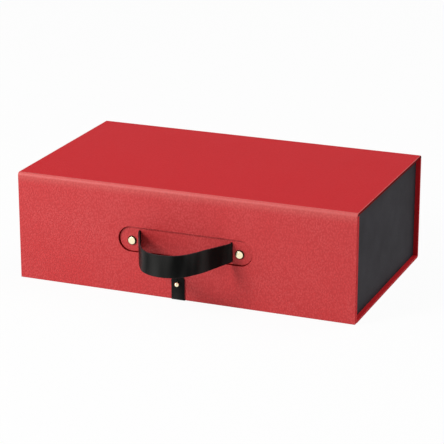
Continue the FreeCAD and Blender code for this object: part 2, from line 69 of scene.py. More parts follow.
NEAR = 0.01 * MM
PAPER = 0.3 * MM
# How squarely a face looks along an axis, as that part of its normal.
TILTED, SIDEWAYS, FACING, SQUARE = 0.1, 0.5, 0.9, 0.95
# Angle between two faces in radians, past which the edge between them is sharp.
SHARP = 1.0
# Up to which angle in degrees faces are shaded as one.
SHADE_ANGLE, LEATHER_ANGLE = 40, 50
PEG_SIDES, BEND_STEPS, ROUND_STEPS, CORNER_STEPS = 64, 12, 3, 4
REST_PLACE = "rest_place"
MIX_FACTOR, MIX_A, MIX_B = 0, 6, 7
LOG = logging.getLogger("gift_box")

Piece = bpy.types.Object
Material = bpy.types.Material
Adder = Callable[..., bpy.types.Node]
Point = Sequence[float]
Band = tuple[float, float]
Arc = tuple[float, float, int]


class Place(Enum):
    """Where a pattern reads its position from."""

    FRAME = "object coordinates"
    REST = "the vertices' own places at rest"


class Select(Enum):
    """What a test in edit mode picks."""

    FACES = "FACE"
    EDGES = "EDGE"
    VERTICES = "VERT"


def linear(hex_colour: str) -> tuple[float, float, float, float]:
    """Turn an sRGB hex colour into Blender's linear one.

    Args:
        hex_colour: Six hex digits after a hash sign.

    Returns:
        Red, green, blue and an alpha of 1, linear.
    """
    channels = [int(hex_colour[i:i + 2], 16) / 255 for i in (1, 3, 5)]
    low, bend, power = 0.04045, 0.055, 2.4
    values = [c / 12.92 if c <= low else ((c + bend) / (1 + bend)) ** power for c in channels]
    return values[0], values[1], values[2], 1.0


def add_node(tree: bpy.types.NodeTree, kind: str, links: dict | Sequence = (), **settings) -> bpy.types.Node:
    """Add a node, set it up and link its inputs.

    Args:
        tree: The node tree.
        kind: The node's type, without its prefix.
        links: What goes into its inputs, by name or index, or in order. Each is a node, which
            gives its first output in use, an output socket, or a plain value.
        **settings: Attributes of the node.

    Returns:
        The new node.
    """
    node = tree.nodes.new("ShaderNode" + kind)
    for name, value in settings.items():
        setattr(node, name, value)
    for name, value in links.items() if isinstance(links, dict) else enumerate(links):
        if isinstance(value, bpy.types.Node):
            value = next(output for output in value.outputs if output.enabled)
        if isinstance(value, bpy.types.NodeSocket):
            tree.links.new(value, node.inputs[name])
        else:
            node.inputs[name].default_value = value
    return node


def open_tree(owner: Material | bpy.types.World) -> Adder:
    """Clear the nodes of a material or world.

    Args:
        owner: The material or world.

    Returns:
        The function that adds nodes to it.
    """
    owner.use_nodes = True
    owner.node_tree.nodes.clear()
    return partial(add_node, owner.node_tree)


class Bench:
    """Shapes meshes with Blender's own operators, as by hand."""

    @staticmethod
    def take_up(name: str) -> Piece:
        """Name the primitive just added and put its place into its mesh.

        Args:
            name: The piece's name.

        Returns:
            The object, at the origin, unturned and unscaled.
        """
        made = bpy.context.active_object
        made.name = made.data.name = name
        bpy.ops.object.transform_apply(location=True, rotation=True, scale=True)
        return made

    @staticmethod
    def hold(*pieces: Piece) -> None:
        """Select these pieces alone.

        Args:
            *pieces: The pieces, the active one first.
        """
        bpy.ops.object.select_all(action="DESELECT")
        for piece in pieces:
            piece.select_set(True)
        if pieces:
            bpy.context.view_layer.objects.active = pieces[0]

    @staticmethod
    def block(name: str, low: Point, high: Point) -> Piece:
        """Add a block between two corners.

        Args:
            name: The piece's name.
            low: Its lowest corner.
            high: Its highest corner.

        Returns:
            The block.
        """
        Bench.hold()
        bpy.ops.mesh.primitive_cube_add(size=1, location=(Vector(high) + Vector(low)) / 2,
                                        scale=Vector(high) - Vector(low))
        return Bench.take_up(name)

    @staticmethod
    def card(name: str, centre: Point, width: float, height: float, facing: Point) -> Piece:
        """Add a single rectangular face, the profile of a sweep.

        Args:
            name: The piece's name.
            centre: Its middle.
            width: Its size across.
            height: Its size along the turned Y axis.
            facing: Euler angles in radians that turn it from lying flat.

        Returns:
            The face's object.
        """
        Bench.hold()
        bpy.ops.mesh.primitive_plane_add(size=1, location=centre, rotation=facing)
        bpy.context.active_object.scale = (width, height, 1)
        return Bench.take_up(name)

    @staticmethod
    def peg(name: str, radius: float, start: Point, end: Point, end_radius: float | None = None) -> Piece:
        """Add a round peg between two points, tapered or not.

        Args:
            name: The piece's name.
            radius: Its radius.
            start: The middle of one end.
            end: The middle of the other end.
            end_radius: Its radius at the other end, if not the same.

        Returns:
            The peg.
        """
        Bench.hold()
        along = Vector(end) - Vector(start)
        bpy.ops.mesh.primitive_cone_add(vertices=PEG_SIDES, radius1=radius, radius2=end_radius or radius,
                                        depth=along.length, location=(Vector(start) + Vector(end)) / 2,
                                        rotation=along.to_track_quat("Z", "Y").to_euler())
        return Bench.take_up(name)

    @staticmethod
    def point(name: str, place: Point) -> Piece:
        """Add a mesh of one vertex, the start of a traced line.

        Args:
            name: The piece's name.
            place: Where the vertex is.

        Returns:
            The object.
        """
        Bench.hold()
        bpy.ops.mesh.primitive_plane_add(size=MM, location=place)
        made = Bench.take_up(name)
        with Bench.editing(made):
            bpy.ops.mesh.select_all(action="SELECT")
            bpy.ops.mesh.merge(type="CENTER")
        return made

    @staticmethod
    @contextmanager
    def editing(piece: Piece) -> Iterator[None]:
        """Open a piece in edit mode with nothing in it selected.

        Args:
            piece: The mesh.
        """
        Bench.hold(piece)
        bpy.ops.object.mode_set(mode="EDIT")
        bpy.ops.mesh.select_mode(type="VERT")
        bpy.ops.mesh.select_all(action="DESELECT")
        yield
        bpy.ops.object.mode_set(mode="OBJECT")

    @staticmethod
    def pick(piece: Piece, what: Select, test: Callable) -> None:
        """Select the faces, edges or vertices that pass a test.

        Args:
            piece: The mesh in edit mode.
            what: Which kind of element.
            test: Takes the element and says whether it is wanted.
        """
        bpy.ops.mesh.select_mode(type=what.value)
        bpy.ops.mesh.select_all(action="DESELECT")
        mesh = bmesh.from_edit_mesh(piece.data)
        mesh.normal_update()
        elements = {Select.FACES: mesh.faces, Select.EDGES: mesh.edges, Select.VERTICES: mesh.verts}[what]
        for element in [element for element in elements if test(element)]:
            element.select_set(True)
        mesh.select_flush_mode()
        bmesh.update_edit_mesh(piece.data)

    @staticmethod
    def is_sharp(edge: bmesh.types.BMEdge) -> bool:
        """Say whether an edge lies between two faces that meet at a sharp angle."""
        return edge.is_manifold and edge.calc_face_angle() > SHARP

    @staticmethod
    def span(edge: bmesh.types.BMEdge, axis: Vector) -> float:
        """How far an edge runs along an axis."""
        return abs((edge.verts[1].co - edge.verts[0].co).dot(axis))

    @staticmethod
    def push(step: Point) -> None:
        """Extrude what is selected by a step."""
        bpy.ops.mesh.extrude_region_move(TRANSFORM_OT_translate={"value": tuple(step)})

    @staticmethod
    def turn(centre: Point, axis: Point, degrees: float, steps: int) -> None:
        """Spin what is selected about an axis, by the right-hand rule."""
        bpy.ops.mesh.spin(steps=steps, angle=-math.radians(degrees), center=tuple(centre), axis=tuple(axis))

    @staticmethod
    def round_off(size: float, steps: int = ROUND_STEPS, affect: str = "EDGES") -> None:
        """Bevel what is selected."""
        bpy.ops.mesh.bevel(offset=size, segments=steps, affect=affect)

    @staticmethod
    def round_card(size: float) -> None:
        """Round a profile's selected corners, and select all of it."""
        Bench.round_off(size, affect="VERTICES")
        bpy.ops.mesh.select_all(action="SELECT")

    @staticmethod
    def close_seams(piece: Piece) -> None:
        """Merge doubled vertices and point every face outwards.

        Args:
            piece: The mesh.
        """
        with Bench.editing(piece):
            bpy.ops.mesh.select_all(action="SELECT")
            bpy.ops.mesh.remove_doubles(threshold=NEAR)
            bpy.ops.mesh.normals_make_consistent(inside=False)

    @staticmethod
    def modify(piece: Piece, kind: str, **settings) -> None:
        """Apply a modifier to a piece at once.

        Args:
            piece: The mesh.
            kind: The modifier's type.
            **settings: Its settings.
        """
        Bench.hold(piece)
        modifier = piece.modifiers.new(kind.title(), kind)
        for name, value in settings.items():
            setattr(modifier, name, value)
        bpy.ops.object.modifier_apply(modifier=modifier.name)

    @staticmethod
    def cut(piece: Piece, cutter: Piece) -> None:
        """Take a cutter's shape out of a piece and throw the cutter away."""
        Bench.modify(piece, "BOOLEAN", object=cutter, operation="DIFFERENCE", solver="EXACT")
        bpy.data.objects.remove(cutter)

    @staticmethod
    def add_paper(piece: Piece) -> None:
        """Give a skin its paper's thickness, inwards."""
        Bench.modify(piece, "SOLIDIFY", thickness=PAPER, offset=-1, use_even_offset=True)

    @staticmethod
    def coat(piece: Piece, finish: Material, test: Callable | None = None) -> None:
        """Add a finish to a piece, for the faces that pass a test.

        Args:
            piece: The mesh.
            finish: The finish.
            test: Takes a face and says whether it gets the finish; none for a piece's first finish.
        """
        piece.data.materials.append(finish)
        for face in piece.data.polygons if test else ():
            if test(face):
                face.material_index = len(piece.data.materials) - 1

    @staticmethod
    def declare(piece: Piece, slot: str, *nodes: str, degrees: float = SHADE_ANGLE) -> None:
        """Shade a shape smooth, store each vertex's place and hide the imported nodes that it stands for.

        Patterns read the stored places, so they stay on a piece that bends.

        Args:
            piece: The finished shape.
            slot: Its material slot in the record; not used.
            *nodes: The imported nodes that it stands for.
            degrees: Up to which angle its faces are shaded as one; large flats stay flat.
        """
        Bench.hold(piece)
        bpy.ops.object.shade_smooth_by_angle(angle=math.radians(degrees))
        Bench.modify(piece, "WEIGHTED_NORMAL", keep_sharp=True)
        stored = piece.data.attributes.new(REST_PLACE, "FLOAT_VECTOR", "POINT")
        for vertex, item in zip(piece.data.vertices, stored.data):
            item.vector = vertex.co
        if nodes:
            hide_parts(*nodes)


@dataclass(frozen=True)
class Finish:
    """What the finishes share: a name and where their patterns sit."""

    name: str
    place: Place

    def start(self) -> tuple[Material, Adder, bpy.types.NodeSocket]:
        """Make an empty material.

        Returns:
            The material, the function that adds its nodes and the position that its patterns read.
        """
        material = bpy.data.materials.new(self.name)
        add = open_tree(material)
        if self.place is Place.REST:
            return material, add, add("Attribute", attribute_name=REST_PLACE).outputs["Vector"]
        return material, add, add("TexCoord").outputs["Object"]


@dataclass(frozen=True)
class Leatherette(Finish):
    """Leatherette paper: coated paper with an embossed pebble grain.

    The coating gives a broad soft sheen and the grain breaks it into fine flecks. The raised pebbles
    are painted paler, partly the grain's own tone and partly a painted sheen, and towards a fold the
    colour is painted paler: a painted highlight.
    """

    # Lighter and pinker than the lid's red, with the raised pebbles painted paler: partly the paper's own
    # colour and grain, partly a painted sheen.
    colour: str = "#C83436"
    light: str = "#DC7876"
    painted_sheen: str = "#D8706A"
    # Paler colour for folds and rounded edges: a painted highlight.
    roughness: float = 0.5
    specular: float = 0.35
    grain: float = 0.8
    # How much of that colour is painted in, rising with height up to the fold: a painted highlight.
    fold_sheen: float = 0.0
    fold_sheen_from: float = 0.0
    fold_sheen_to: float = 1.0 * MM
    # Real pebbles are finer; these are as coarse as they need to be to show.
    pebble: float = 1.5 * MM
    pebble_rim: float = 0.75
    pebble_top: float = 0.2
    wrinkle: float = 4.0 * MM
    patch: float = 30 * MM
    z_scale: float = 0.7
    depth: float = 0.2 * MM
    fleck_scale: float = 1.6
    fleck_height: float = 0.9
    pale_from: float = 0.3
    paleness: float = 0.18
    shade: float = 0.16

    def material(self) -> Material:
        """Build the material.

        Returns:
            The new material.
        """
        material, add, place = self.start()
        spot = add("Mapping", {"Vector": place, "Scale": (1.0, 1.0, self.z_scale)})
        warp = add("TexNoise", {"Vector": spot, "Scale": 1 / self.wrinkle, "Detail": 2.0}).outputs["Color"]
        centred = add("VectorMath", (warp, (0.5, 0.5, 0.5)), operation="SUBTRACT")
        pulled = add("VectorMath", {0: centred, "Scale": self.pebble}, operation="SCALE")
        moved = add("VectorMath", (spot, pulled), operation="ADD")
        cells = add("TexVoronoi", {"Vector": moved, "Scale": 1 / self.pebble}, feature="F1")
        dome = add("MapRange", (cells, self.pebble_rim, self.pebble_top), interpolation_type="SMOOTHSTEP")
        flecks = add("TexNoise", {"Vector": spot, "Scale": self.fleck_scale / self.pebble, "Detail": 3.0})
        height = add("Math", (flecks, self.fleck_height, dome), operation="MULTIPLY_ADD")
        bump = add("Bump", {"Height": height, "Distance": self.depth * self.grain})
        # Raised pebbles painted paler: partly the grain's own tone, partly a painted sheen.
        patches = add("TexNoise", {"Vector": spot, "Scale": 1 / self.patch, "Detail": 4.0})
        raised = add("Math", (height, patches), operation="MULTIPLY")
        share = add("MapRange", (raised, self.pale_from, 1.0, 0.0, self.paleness * self.grain))
        tone = add("Mix", {MIX_FACTOR: share, MIX_A: linear(self.colour), MIX_B: linear(self.light)},
                   data_type="RGBA")
        # Paler towards the fold: a painted highlight.
        level = add("SeparateXYZ", (place,)).outputs["Z"]
        sheen_share = add("MapRange", (level, self.fold_sheen_from, self.fold_sheen_to, 0.0, self.fold_sheen),
                   interpolation_type="SMOOTHSTEP")
        paled = add("Mix", {MIX_FACTOR: sheen_share, MIX_A: tone, MIX_B: linear(self.painted_sheen)}, data_type="RGBA")
        dip = add("MapRange", (dome, 0.0, 1.0, 1.0 - self.shade * self.grain, 1.0))
        colour = add("Mix", {MIX_FACTOR: 1.0, MIX_A: paled, MIX_B: dip}, data_type="RGBA",
                     blend_type="MULTIPLY")
        shader = add("BsdfPrincipled", {"Base Color": colour, "Roughness": self.roughness,
                                        "Specular IOR Level": self.specular, "Normal": bump})
        add("OutputMaterial", {"Surface": shader})
        return material


@dataclass(frozen=True)
class DyedPaper(Finish):
    """Dyed uncoated paper: matte, with short fibres that show as a faint fleck."""

    colour: str = "#232125"
    light: str = "#323035"
    roughness: float = 0.62
    specular: float = 0.06
    # Real fibres are finer; these are as coarse as they need to be to show.
    fibre: float = 0.9 * MM
    patch: float = 25 * MM
    z_scale: float = 0.35
    light_band: Band = (0.12, 0.42)
    depth: float = 0.03 * MM

    def material(self) -> Material:
        """Build the material.

        Returns:
            The new material.
        """
        material, add, spot = self.start()
        drawn = add("Mapping", {"Vector": spot, "Scale": (1.0, 1.0, self.z_scale)})
        fibres = add("TexNoise", {"Vector": drawn, "Scale": 1 / self.fibre, "Detail": 4.0, "Roughness": 0.7})
        patches = add("TexNoise", {"Vector": spot, "Scale": 1 / self.patch, "Detail": 3.0})
        both = add("Math", (fibres, patches), operation="MULTIPLY")
        share = add("MapRange", (both, *self.light_band))
        tone = add("Mix", {MIX_FACTOR: share, MIX_A: linear(self.colour), MIX_B: linear(self.light)},
                   data_type="RGBA")
        bump = add("Bump", {"Height": fibres, "Distance": self.depth})
        shader = add("BsdfPrincipled", {"Base Color": tone, "Roughness": self.roughness,
                                        "Specular IOR Level": self.specular, "Normal": bump})
        add("OutputMaterial", {"Surface": shader})
        return material


@dataclass(frozen=True)
class Leather(Finish):
    """Finished cowhide: black, with fine pores and creases, and paler in broad patches: a painted highlight.
    """

    colour: str = "#060606"
    light: str = "#0C0D0C"
    roughness: float = 0.36
    # Colour of the broad paler patches: a painted highlight.
    pale: str = "#2C2C2B"
    specular: float = 0.05
    # Real pores are finer; these are as coarse as they need to be to show.
    pore: float = 0.7 * MM
    crease: float = 5.0 * MM
    crease_height: float = 9.0
    patch: float = 16 * MM
    z_scale: float = 0.25
    # Shifts the patterns, so that the paler patches fall where the strap's bow catches the light.
    phase: tuple[float, float, float] = (80 * MM, 0.0, 30 * MM)
    depth: float = 0.05 * MM
    light_band: Band = (0.35, 0.7)
    shine_band: Band = (0.3, 0.7)
    shine_spread: Band = (-0.05, 0.08)
    painted_sheen_band: Band = (0.35, 0.7)

    def material(self) -> Material:
        """Build the material.

        Returns:
            The new material.
        """
        material, add, spot = self.start()
        pores = add("TexVoronoi", {"Vector": spot, "Scale": 1 / self.pore}, feature="SMOOTH_F1")
        drawn = add("Mapping", {"Vector": spot, "Location": self.phase, "Scale": (1.0, 1.0, self.z_scale)})
        creases = add("TexNoise", {"Vector": drawn, "Scale": 1 / self.crease, "Detail": 5.0,
                                   "Roughness": 0.6})
        height = add("Math", (creases, self.crease_height, pores), operation="MULTIPLY_ADD")
        bump = add("Bump", {"Height": height, "Distance": self.depth})
        share = add("MapRange", (creases, *self.light_band))
        tone = add("Mix", {MIX_FACTOR: share, MIX_A: linear(self.colour), MIX_B: linear(self.light)},
                   data_type="RGBA")
        shine = add("MapRange", (creases, *self.shine_band, *(self.roughness + s for s in self.shine_spread)))
        # Broad paler patches: a painted highlight.
        painted_sheen = add("TexNoise", {"Vector": drawn, "Scale": 1 / self.patch, "Detail": 1.0})
        sheen_share = add("MapRange", (painted_sheen, *self.painted_sheen_band), interpolation_type="SMOOTHSTEP")
        paled = add("Mix", {MIX_FACTOR: sheen_share, MIX_A: tone, MIX_B: linear(self.pale)}, data_type="RGBA")
        shader = add("BsdfPrincipled", {"Base Color": paled, "Roughness": shine,
                                        "Specular IOR Level": self.specular, "Normal": bump})
        add("OutputMaterial", {"Surface": shader})
        return material


@dataclass(frozen=True)
class Metal(Finish):
    """Turned and polished metal: mirror-like, with faint polishing marks."""

    colour: str = "#FFF5D0"
    stain: str = "#F2DFA8"
    roughness: float = 0.14
    # Real polishing marks are finer; these are as coarse as they need to be to show.
    mark: float = 0.8 * MM
    depth: float = 0.004 * MM
    stain_band: Band = (0.45, 0.75)
    stain_share: float = 0.5
    dull_band: Band = (0.3, 0.7)
    dullness: float = 0.1

    def material(self) -> Material:
        """Build the material.

        Returns:
            The new material.
        """
        material, add, spot = self.start()
        marks = add("TexNoise", {"Vector": spot, "Scale": 1 / self.mark, "Detail": 3.0})
        share = add("MapRange", (marks, *self.stain_band, 0.0, self.stain_share))
        tone = add("Mix", {MIX_FACTOR: share, MIX_A: linear(self.colour), MIX_B: linear(self.stain)},
                   data_type="RGBA")
        dull = add("MapRange", (marks, *self.dull_band, self.roughness, self.roughness + self.dullness))
        bump = add("Bump", {"Height": marks, "Distance": self.depth})
        shader = add("BsdfPrincipled", {"Base Color": tone, "Metallic": 1.0, "Roughness": dull,
                                        "Normal": bump})
        add("OutputMaterial", {"Surface": shader})
        return material


@dataclass(frozen=True)
class PressedFibre(Finish):
    """Pressed fibre, such as greyboard or kraft tape: dull, with darker and lighter flecks."""

    colour: str = "#8A857B"
    fleck: str = "#5E5A53"
    roughness: float = 0.85
    speck: float = 1.1 * MM
    speck_band: Band = (0.5, 0.72)
    depth: float = 0.04 * MM

    def material(self) -> Material:
        """Build the material.

        Returns:
            The new material.
        """
        material, add, spot = self.start()
        specks = add("TexNoise", {"Vector": spot, "Scale": 1 / self.speck, "Detail": 5.0, "Roughness": 0.75})
        share = add("MapRange", (specks, *self.speck_band))
        tone = add("Mix", {MIX_FACTOR: share, MIX_A: linear(self.colour), MIX_B: linear(self.fleck)},
                   data_type="RGBA")
        bump = add("Bump", {"Height": specks, "Distance": self.depth})
        shader = add("BsdfPrincipled", {"Base Color": tone, "Roughness": self.roughness, "Normal": bump})
        add("OutputMaterial", {"Surface": shader})
        return material


class Finishes:
    """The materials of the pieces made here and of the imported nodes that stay."""

    def __init__(self) -> None:
        """Make the finishes of the modelled pieces, the red ones painted paler towards the fold: a painted
        highlight.
        """
        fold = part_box("flap_outer_board")[1].z
        # The flap's red is painted paler towards the fold: a painted highlight.
        self.red = Leatherette("red_leatherette_paper", Place.REST, fold_sheen=0.35, fold_sheen_from=fold - 8 * MM,
                               fold_sheen_to=fold + 1 * MM).material()
        self.smooth_darker_red = Leatherette("red_leatherette_paper_smooth_darker", Place.REST, colour="#C41C24",
                                      light="#D0484C", roughness=0.6, specular=0.08, grain=0.3).material()
        # Paler red for the bends and the lid's rounded ends: a painted highlight.
        self.painted_highlight_red = Leatherette("red_leatherette_paper_painted_highlight", Place.REST, roughness=0.5,
                                    specular=0.4, grain=0.5, fold_sheen=0.4).material()
        # Dark red for the window's wall and the lid's end faces: painted shade.
        self.painted_shade_red = Leatherette("red_paper_darkened_as_painted_shade", Place.REST, colour="#6E0C0E",
                                    light="#7E1C1C", roughness=0.8, specular=0.02, grain=0.3).material()
        self.black = DyedPaper("black_dyed_paper", Place.REST).material()
        self.leather = Leather("waxed_black_leather", Place.REST).material()
        self.tab_leather = Leather("waxed_black_leather_of_tab", Place.REST, phase=(0.0, 0.0, 0.0)).material()
        # The leather's cut edge: its own reddish brown, lightened further as a painted highlight.
        self.raw_leather_and_highlight = Leather("cut_edge_of_black_leather_and_painted_highlight", Place.REST, "#3A2124", "#4A2E32",
                                   0.6).material()
        self.brass = Metal("polished_brass", Place.REST).material()
        # Dark brass for the rivets' rolled rings: a painted reflection of the dark surroundings.
        self.brass_ring_painted_dark = Metal("brass_ring_darkened_as_painted_reflection", Place.REST, "#42352B", "#30251C", 0.2).material()

    @staticmethod
    def dress_nodes() -> None:
        """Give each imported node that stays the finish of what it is."""
        finishes = {
            "greyboard": PressedFibre("pressed_greyboard", Place.FRAME),
            "red_leatherette_paper": Leatherette("red_leatherette_paper_flat", Place.FRAME),
            "black_paper": DyedPaper("black_dyed_paper_flat", Place.FRAME),
            "stay_paper": PressedFibre("kraft_paper_tape", Place.FRAME, "#B79E78", "#94794F", 0.8),
            "black_leather": Leather("waxed_black_leather_flat", Place.FRAME),
            "polished_brass": Metal("polished_brass_flat", Place.FRAME),
            "nickel_magnet": Metal("nickel_plated_magnet", Place.FRAME, "#C9CACC", "#A9ABAE", 0.22),
            "keeper_steel": Metal("rolled_mild_steel", Place.FRAME, "#8E9093", "#6F7073", 0.4, 0.5 * MM),
        }
        made = {slot: finish.material() for slot, finish in finishes.items()}
        for part in frame["record"]["subparts"]:
            node = frame["nodes"][part["node"]]
            if not node.material_slots:
                node.data.materials.append(None)
            for slot in node.material_slots:
                slot.material = made[part["material_slot"]]


@dataclass(frozen=True)
class CasePlan:
    """Main planes of the closed case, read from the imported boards."""

    edge: float
    front: float
    flap_back: float
    flap_low: float
    back: float
    top: float
    lid_under: float
    base_top: float
    base_front: float
    fold_front: float
    fold_back: float
    fold_low: float
    tab_x: float
    stud_z: float

    @classmethod
    def from_frame(cls) -> "CasePlan":
        """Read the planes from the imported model.

        Returns:
            The plan.
        """
        lid_low, lid_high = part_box("lid_board")
        flap_low, flap_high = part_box("flap_wrap")
        tab_low, tab_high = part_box("closing_tab")
        return cls(edge=flap_high.x, front=flap_low.y, flap_back=flap_high.y, flap_low=flap_low.z,
                   back=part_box("base_wrap")[1].y, top=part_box("lid_wrap")[1].z,
                   lid_under=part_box("lid_wrap")[0].z, base_top=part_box("base_board")[1].z + PAPER,
                   base_front=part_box("base_wrap")[0].y, fold_front=lid_low.y, fold_back=lid_high.y,
                   fold_low=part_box("flap_outer_board")[1].z, tab_x=(tab_low.x + tab_high.x) / 2,
                   stud_z=sum(corner.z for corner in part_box("closing_stud")) / 2)


@dataclass
class CaseCover:
    """The red covering papers of base, spine, lid and flap, and the bends between them."""

    plan: CasePlan
    finishes: Finishes
    edge_round: float = 0.5 * MM
    border: float = 4.0 * MM
    window_radius: float = 12.6 * MM
    window_half: float = 55.0 * MM
    window_round: float = 0.4 * MM
    window_slope: float = 0.4
    channel_half: float = 7.1 * MM
    channel_end: float = -65.6 * MM
    channel_top: float = 1.3 * MM
    notch_top: float = 1.6 * MM
    stud_hole: float = 3.75 * MM
    stud_bore_end: float = -99.2 * MM
    bend_sheet: float = 0.6 * MM
    crease_share: float = 0.3

    def build(self) -> list[Piece]:
        """Build the whole case cover."""
        return [self.base_cover(), self.lid_cover(), self.flap_cover(), self.front_bend(), self.back_bend()]

    def round_edges(self, piece: Piece, keep_square: Callable) -> None:
        """Round the edges that stand open, as paper over board does.

        Args:
            piece: The shape.
            keep_square: Says which edges stay as they are.
        """
        with Bench.editing(piece):
            Bench.pick(piece, Select.EDGES, lambda e: Bench.is_sharp(e) and not keep_square(e))
            Bench.round_off(self.edge_round)

    def finish_skin(self, piece: Piece, body: str, red: Material, lined: Callable, *nodes: str) -> Piece:
        """Give a red skin its paper's thickness, its finishes and its body.

        Args:
            piece: The outer shape.
            body: The body it rides on.
            red: Its red finish.
            lined: Says which faces the black lining paper covers.
            *nodes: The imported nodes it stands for.

        Returns:
            The piece.
        """
        Bench.coat(piece, red)
        Bench.coat(piece, self.finishes.black, lined)
        Bench.add_paper(piece)
        Bench.declare(piece, "red_leatherette_paper", *nodes)
        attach(piece, body)
        return piece

    def base_cover(self) -> Piece:
        """Paper of the base, its bend and the spine, one L round the back edge.

        Returns:
            The piece.
        """
        plan = self.plan
        piece = Bench.block("base_cover", (-plan.edge, plan.base_front, 0),
                            (plan.edge, plan.fold_back, plan.base_top))
        bend = (0, plan.fold_back, plan.back - plan.fold_back)
        with Bench.editing(piece):
            Bench.pick(piece, Select.FACES, lambda f: f.normal.y > FACING)
            Bench.turn(bend, X_AXIS, 90, BEND_STEPS)
            Bench.push((0, 0, plan.fold_low - bend[2]))
        Bench.close_seams(piece)
        self.round_edges(piece, lambda e: all(abs(v.co.z - plan.fold_low) < NEAR for v in e.verts))
        Bench.cut(piece, Bench.block("channel_cutter",
                                     (plan.tab_x - self.channel_half, plan.base_front - MM, -MM),
                                     (plan.tab_x + self.channel_half, self.channel_end, self.channel_top)))
        return self.finish_skin(piece, "base", self.finishes.smooth_darker_red,
                                lambda f: f.center.z > plan.fold_low - NEAR, "base_wrap", "spine_wrap")

    def lid_cover(self) -> Piece:
        """Paper of the lid, turned in round the ends of its underside.

        Returns:
            The piece.
        """
        plan = self.plan
        piece = Bench.block("lid_cover", (-plan.edge, plan.fold_front, plan.lid_under),
                            (plan.edge, plan.fold_back, plan.top))
        self.round_edges(piece, lambda e: abs(e.verts[0].co.x) < plan.edge - NEAR
                         or Bench.span(e, X_AXIS) > NEAR or Bench.span(e, Z_AXIS) > NEAR)
        inner = plan.edge - self.border
        with Bench.editing(piece):
            for x in (-inner, inner):
                Bench.pick(piece, Select.FACES, lambda f: f.normal.z < -FACING)
                bpy.ops.mesh.bisect(plane_co=(x, 0, 0), plane_no=X_AXIS)
            Bench.pick(piece, Select.FACES, lambda f: f.normal.z < -FACING
                       and abs(f.calc_center_median().x) < inner)
            bpy.ops.mesh.delete(type="FACE")
        self.finish_skin(piece, "lid", self.finishes.smooth_darker_red, lambda f: abs(f.normal.y) > FACING,
                         "lid_wrap")
        # The lid's end faces get the dark red: painted shade.
        Bench.coat(piece, self.finishes.painted_shade_red, lambda f: abs(f.normal.x) > SQUARE)
        # The lid's rounded top edges at its ends get the paler red: a painted highlight.
        Bench.coat(piece, self.finishes.painted_highlight_red,
                   lambda f: TILTED < abs(f.normal.x) < SQUARE and f.normal.z > 0)
        return piece

    def window_cutter(self) -> Piece:
        """Slug with round ends and a sloping wall that cuts the handle window.

        Returns:
            The cutter.
        """
        low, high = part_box("recess_cover")
        centre = (low + high) / 2
        slug = Bench.peg("window_cutter", self.window_radius + self.window_slope * MM,
                         (centre.x, self.plan.front - MM, centre.z), (centre.x, high.y, centre.z),
                         self.window_radius - self.window_slope * (high.y - self.plan.front))
        with Bench.editing(slug):
            for side in (-1, 1):
                Bench.pick(slug, Select.VERTICES, lambda v: (v.co.x - centre.x) * side > NEAR)
                bpy.ops.transform.translate(value=(side * self.window_half, 0, 0))
        return slug

    def flap_cover(self) -> Piece:
        """Paper of the flap, cut out for the handle window, the stud and the tab.

        Returns:
            The piece.
        """
        plan = self.plan
        piece = Bench.block("flap_cover", (-plan.edge, plan.front, plan.flap_low),
                            (plan.edge, plan.flap_back, plan.fold_low))
        self.round_edges(piece, lambda e: any(abs(v.co.z - plan.fold_low) < NEAR for v in e.verts)
                         and Bench.span(e, Z_AXIS) < NEAR)
        Bench.cut(piece, self.window_cutter())
        Bench.cut(piece, Bench.block("notch_cutter", (plan.tab_x - self.channel_half, plan.front - MM, 0),
                                     (plan.tab_x + self.channel_half, plan.flap_back + MM, self.notch_top)))
        Bench.cut(piece, Bench.peg("stud_cutter", self.stud_hole, (plan.tab_x, plan.front - MM, plan.stud_z),
                                   (plan.tab_x, self.stud_bore_end, plan.stud_z)))
        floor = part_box("recess_cover")[1].y
        inner, foot = plan.edge - self.border, plan.flap_low + self.border

        def is_back(face: bmesh.types.BMFace) -> bool:
            """Say whether a face is on the flap's back."""
            return face.normal.y > FACING and face.calc_center_median().y > plan.flap_back - NEAR

        with Bench.editing(piece):
            Bench.pick(piece, Select.FACES, lambda f: abs(f.calc_center_median().y - floor) < NEAR)
            bpy.ops.mesh.delete(type="FACE")
            Bench.pick(piece, Select.EDGES, self.is_window_rim)
            Bench.round_off(self.window_round)
            for co, no in (((-inner, 0, 0), X_AXIS), ((inner, 0, 0), X_AXIS), ((0, 0, foot), Z_AXIS)):
                Bench.pick(piece, Select.FACES, is_back)
                bpy.ops.mesh.bisect(plane_co=co, plane_no=no)
            Bench.pick(piece, Select.FACES, lambda f: is_back(f) and abs(f.calc_center_median().x) < inner
                       and f.calc_center_median().z > foot)
            bpy.ops.mesh.delete(type="FACE")
        self.finish_skin(piece, "flap", self.finishes.red, lambda f: f.center.z > plan.fold_low - NEAR,
                         "flap_wrap")
        # The window's wall gets the dark red: painted shade.
        Bench.coat(piece, self.finishes.painted_shade_red, self.is_window_wall)
        # The flap's end faces get the darker red: painted shade.
        Bench.coat(piece, self.finishes.smooth_darker_red, lambda f: abs(f.normal.x) > SQUARE
                   and abs(f.center.x) > plan.edge - MM)
        return piece

    def is_window_wall(self, face: bpy.types.MeshPolygon) -> bool:
        """Say whether a face is on the wall of the handle window.

        Args:
            face: A face of the flap's paper.

        Returns:
            True for the wall between the rounded rim and the window's floor.
        """
        low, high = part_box("recess_cover")
        return (abs(face.normal.y) < SIDEWAYS
                and self.plan.front + self.window_round / 2 < face.center.y < high.y
                and low.x + MM < face.center.x < high.x - MM and low.z + MM < face.center.z < high.z - MM)

